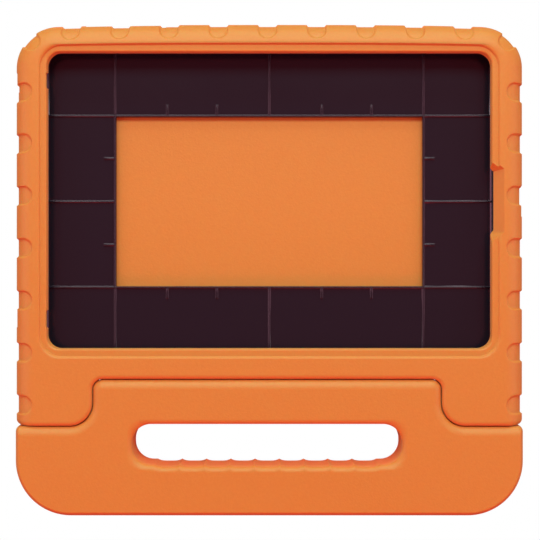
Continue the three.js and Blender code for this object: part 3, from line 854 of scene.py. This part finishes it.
# The window with its frame of ribs, the ticks along the frame and the marks of the mould's pins,
# all placed from the pocket's middle.
WINDOW_HALF_X = 68.8
WINDOW_HALF_Y = 38.0
TICK_LENGTH = 4.5
TICKS_ACROSS = (-45.9, -23.6, 23.6, 45.9)
TICKS_UP = (-19.4, 19.4)
PIN_RADIUS = 2.5
PIN_FACETS = 40
PIN_DEPTH = 0.11
PIN_SLOPE = 0.22
PINS = [(x, y) for x in (-64.9, -35.0, -4.4, 34.3, 64.9) for y in (-42.4, 42.6)]
PINS += [(-73.0, 35.4), (-73.0, -34.6), (73.2, 35.0), (73.2, -3.5), (73.2, -34.0)]


def tray_pan():
    """The pan without its ribs: outer side, rim, filleted inside and floor."""
    outer = rectangle((tray_low.x, tray_low.y), (tray_high.x, tray_high.y), TRAY_CORNER, TRAY_FACETS)
    levels = [(inset, tray_low.z + rise) for inset, rise in TRAY_FOOT]
    levels += [(inset, tray_high.z - drop) for inset, drop in TRAY_RIM]
    for angle in quarter_turns(FILLET_LEVELS):
        inset = TRAY_WALL + RIM_FILLET * (1 - math.cos(angle))
        levels.append((inset, TRAY_TOP + RIM_FILLET * (1 - math.sin(angle))))
    return lofted("inner_tray", [(outline(outer, {"all": inset}), z) for inset, z in levels])


def rib_bar(x0, x1, y0, y1, height):
    """One rib with sloping sides and a softened top."""
    corners = rectangle((x0, y0), (x1, y1), 0.0)
    foot = outline(corners, {"all": -RIB_FOOT})
    levels = [(foot, TRAY_TOP - RIB_ROOT), (foot, TRAY_TOP)]
    levels.append((outline(corners, {}), TRAY_TOP + RIB_SIDE))
    for angle in quarter_turns(RIB_LEVELS)[1:]:
        inset = RIB_CROWN * (1 - math.cos(angle))
        levels.append((outline(corners, {"all": inset}), TRAY_TOP + height * math.sin(angle)))
    return lofted("rib", levels)


inner_tray = tray_pan()
half = RIB_WIDTH / 2
frame_x = WINDOW_HALF_X + half
frame_y = WINDOW_HALF_Y + half
out_x = tray_high.x - TRAY_WALL - RIB_END_GAP
out_y = (tray_high.y - tray_low.y) / 2 - TRAY_WALL - RIB_END_GAP


def upright_rib(x, y0, y1, height):
    """Joins a rib that runs up the tray to the pan."""
    low, high = sorted((y0, y1))
    cut(inner_tray, rib_bar(x - half, x + half, POCKET_Y + low, POCKET_Y + high, height), "UNION")


def level_rib(y, x0, x1, height):
    """Joins a rib that runs across the tray to the pan."""
    low, high = sorted((x0, x1))
    cut(inner_tray, rib_bar(low, high, POCKET_Y + y - half, POCKET_Y + y + half, height), "UNION")


for direction in (-1, 1):
    upright_rib(direction * frame_x, -out_y, out_y, RIB_HEIGHT)
    upright_rib(direction * frame_x, -frame_y - half, frame_y + half, FRAME_HEIGHT)
    level_rib(direction * frame_y, -out_x, out_x, RIB_HEIGHT)
    level_rib(direction * frame_y, -frame_x - half, frame_x + half, FRAME_HEIGHT)
    upright_rib(0, direction * frame_y, direction * out_y, RIB_HEIGHT)
    level_rib(0, direction * frame_x, direction * out_x, RIB_HEIGHT)
    for x in TICKS_ACROSS:
        upright_rib(x, direction * frame_y, direction * (frame_y + half + TICK_LENGTH), RIB_HEIGHT)
    for y in TICKS_UP:
        level_rib(y, direction * frame_x, direction * (frame_x + half + TICK_LENGTH), RIB_HEIGHT)
cut(
    inner_tray,
    block(
        "window",
        (-WINDOW_HALF_X, POCKET_Y - WINDOW_HALF_Y, 0),
        (WINDOW_HALF_X, POCKET_Y + WINDOW_HALF_Y, FRONT_Z),
    ),
)


def pin_marks():
    """The shallow round marks that the mould's ejector pins leave in the tray's floor."""
    bm = bmesh.new()
    turns = full_turns(PIN_FACETS)
    for x, y in PINS:
        rings = []
        for share in (-1, 1):
            radius = PIN_RADIUS + share * PIN_SLOPE
            circle = [(x + radius * math.cos(a), POCKET_Y + y + radius * math.sin(a)) for a in turns]
            rings.append(at_height(circle, TRAY_TOP + share * PIN_DEPTH))
        closed_rings(bm, rings)
    return mesh_object("pin_marks", bm)


cut(inner_tray, pin_marks())


def tray_material():
    """Black injection-moulded plastic with a satin tool finish."""
    material = bpy.data.materials.new("black_plastic")
    material.use_nodes = True
    nodes, links = material.node_tree.nodes, material.node_tree.links
    shader = nodes["Principled BSDF"]
    place = nodes.new("ShaderNodeTexCoord")
    fine = nodes.new("ShaderNodeTexNoise")
    set_input(fine, "Scale", 2500.0)
    set_input(fine, "Detail", 2.0)
    broad = nodes.new("ShaderNodeTexNoise")
    set_input(broad, "Scale", 25.0)
    rough = nodes.new("ShaderNodeMapRange")
    set_input(rough, "To Min", 0.17)
    set_input(rough, "To Max", 0.22)
    bump = nodes.new("ShaderNodeBump")
    set_input(bump, "Strength", 0.12)
    set_input(bump, "Distance", 0.0001)
    links.new(place.outputs["Object"], fine.inputs["Vector"])
    links.new(place.outputs["Object"], broad.inputs["Vector"])
    links.new(fine.outputs["Fac"], bump.inputs["Height"])
    links.new(bump.outputs["Normal"], shader.inputs["Normal"])
    links.new(broad.outputs["Fac"], rough.inputs["Value"])
    links.new(rough.outputs["Result"], shader.inputs["Roughness"])
    set_input(shader, "Base Color", (0.009, 0.009, 0.02, 1.0))
    set_input(shader, "Specular IOR Level", 0.7)
    set_input(shader, "Specular Tint", (1.0, 0.45, 0.7, 1.0))
    return material


finished(inner_tray, tray_material())
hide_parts("tablet_tray")
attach(inner_tray, "case")

# The hinge: a steel rod through flanged nylon bushes and washers, closed by foam-coloured plugs.
# The pieces are the frame's own, and only their finish is given here.
HINGE_SMOOTH_ANGLE = 40.0


def plain_material(name, colour, roughness, metallic, grain):
    """A turned or moulded finish with a faint grain."""
    material = bpy.data.materials.new(name)
    material.use_nodes = True
    nodes, links = material.node_tree.nodes, material.node_tree.links
    shader = nodes["Principled BSDF"]
    place = nodes.new("ShaderNodeTexCoord")
    noise = nodes.new("ShaderNodeTexNoise")
    set_input(noise, "Scale", grain)
    bump = nodes.new("ShaderNodeBump")
    set_input(bump, "Strength", 0.15)
    set_input(bump, "Distance", 0.0001)
    links.new(place.outputs["Object"], noise.inputs["Vector"])
    links.new(noise.outputs["Fac"], bump.inputs["Height"])
    links.new(bump.outputs["Normal"], shader.inputs["Normal"])
    set_input(shader, "Base Color", (*colour, 1.0))
    set_input(shader, "Roughness", roughness)
    set_input(shader, "Metallic", metallic)
    return material


rod_steel = plain_material("drawn_steel", (0.55, 0.56, 0.57), 0.3, 1.0, 1500.0)
bush_nylon = plain_material("natural_nylon", (0.7, 0.68, 0.62), 0.45, 0.0, 900.0)
for node, material in (
    ("hinge_rod", rod_steel),
    ("lobe_bush_left", bush_nylon),
    ("lobe_bush_right", bush_nylon),
    ("handle_bush_left", bush_nylon),
    ("handle_bush_right", bush_nylon),
    ("friction_washer_left", bush_nylon),
    ("friction_washer_right", bush_nylon),
    ("rod_plug_left", orange_foam),
    ("rod_plug_right", orange_foam),
):
    obj = frame["nodes"][node]
    obj.data.materials.clear()
    obj.data.materials.append(material)
    smooth(obj, HINGE_SMOOTH_ANGLE)

# The floor: a plain white sheet, just low enough for the handle to clear it as it turns back.
# It is white to a camera above it, and lets the light under the case pass up to the foam.
SHEET_HALF = 1500.0
SHEET_GAP = 1.0

handle_reach = math.hypot(hinge.y - handle_low.y, FRONT_Z - hinge.z)
sheet_corners = rectangle((-SHEET_HALF, -SHEET_HALF), (SHEET_HALF, SHEET_HALF), 0.0)
bm = bmesh.new()
sheet = at_height(outline(sheet_corners, {}), hinge.z - handle_reach - SHEET_GAP)
bm.faces.new([bm.verts.new(Vector(point) * MM) for point in sheet])
floor_sheet = mesh_object("floor_sheet", bm)
white_sheet = bpy.data.materials.new("white_sheet")
white_sheet.use_nodes = True
nodes, links = white_sheet.node_tree.nodes, white_sheet.node_tree.links
path = nodes.new("ShaderNodeLightPath")
face = nodes.new("ShaderNodeNewGeometry")
seen_from_above = nodes.new("ShaderNodeMath")
seen_from_above.operation = "SUBTRACT"
seen_from_above.use_clamp = True
clear = nodes.new("ShaderNodeBsdfTransparent")
white = nodes.new("ShaderNodeEmission")
mix = nodes.new("ShaderNodeMixShader")
links.new(path.outputs["Is Camera Ray"], seen_from_above.inputs[0])
links.new(face.outputs["Backfacing"], seen_from_above.inputs[1])
links.new(seen_from_above.outputs["Value"], mix.inputs["Fac"])
links.new(clear.outputs["BSDF"], mix.inputs[1])
links.new(white.outputs["Emission"], mix.inputs[2])
links.new(mix.outputs["Shader"], nodes["Material Output"].inputs["Surface"])
floor_sheet.data.materials.append(white_sheet)
floor_sheet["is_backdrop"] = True

# Studio light: a soft lamp over the case's top edge and a low one beyond it, weak ones from the
# left and the right, a red one past the handle, and a red one under the case that shines up
# through the finger slot. The room adds an even red light, and is white to the camera.


def soft_lamp(name, place, size, watts, colour):
    """A rectangular lamp, placed in metres, that faces the frame's origin."""
    data = bpy.data.lights.new(name, "AREA")
    data.shape = "RECTANGLE"
    data.size, data.size_y = size
    data.energy = watts
    data.color = colour
    lamp = bpy.data.objects.new(name, data)
    lamp.location = place
    lamp.rotation_mode = "QUATERNION"
    lamp.rotation_quaternion = (-Vector(place)).to_track_quat("-Z", "Y")
    bpy.context.scene.collection.objects.link(lamp)


soft_lamp("over_top", (0.0, 0.72, 0.98), (1.2, 0.36), 12.8, (0.53, 1.0, 0.7))
soft_lamp("past_top", (0.0, 1.15, 0.45), (1.2, 0.4), 8.5, (0.48, 1.0, 0.7))
soft_lamp("left", (-1.15, 0.05, 0.5), (0.5, 1.0), 5.2, (0.75, 0.7, 0.62))
soft_lamp("right", (1.15, 0.05, 0.5), (0.5, 1.0), 5.2, (0.75, 0.7, 0.62))
soft_lamp("past_handle", (0.0, -1.15, 0.5), (1.0, 0.5), 7.0, (1.0, 0.16, 0.14))
soft_lamp("under", (0.0, 0.3, -0.6), (0.5, 0.5), 1.6, (1.0, 0.06, 0.05))

world = bpy.data.worlds.new("room")
bpy.context.scene.world = world
world.use_nodes = True
nodes, links = world.node_tree.nodes, world.node_tree.links
room = nodes["Background"]
set_input(room, "Color", (1.0, 0.22, 0.2, 1.0))
set_input(room, "Strength", 0.34)
white = nodes.new("ShaderNodeBackground")
set_input(white, "Color", (1.0, 1.0, 1.0, 1.0))
set_input(white, "Strength", 1.0)
path = nodes.new("ShaderNodeLightPath")
mix = nodes.new("ShaderNodeMixShader")
links.new(path.outputs["Is Camera Ray"], mix.inputs["Fac"])
links.new(room.outputs["Background"], mix.inputs[1])
links.new(white.outputs["Background"], mix.inputs[2])
links.new(mix.outputs["Shader"], nodes["World Output"].inputs["Surface"])

bpy.context.view_layer.update()
low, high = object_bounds()
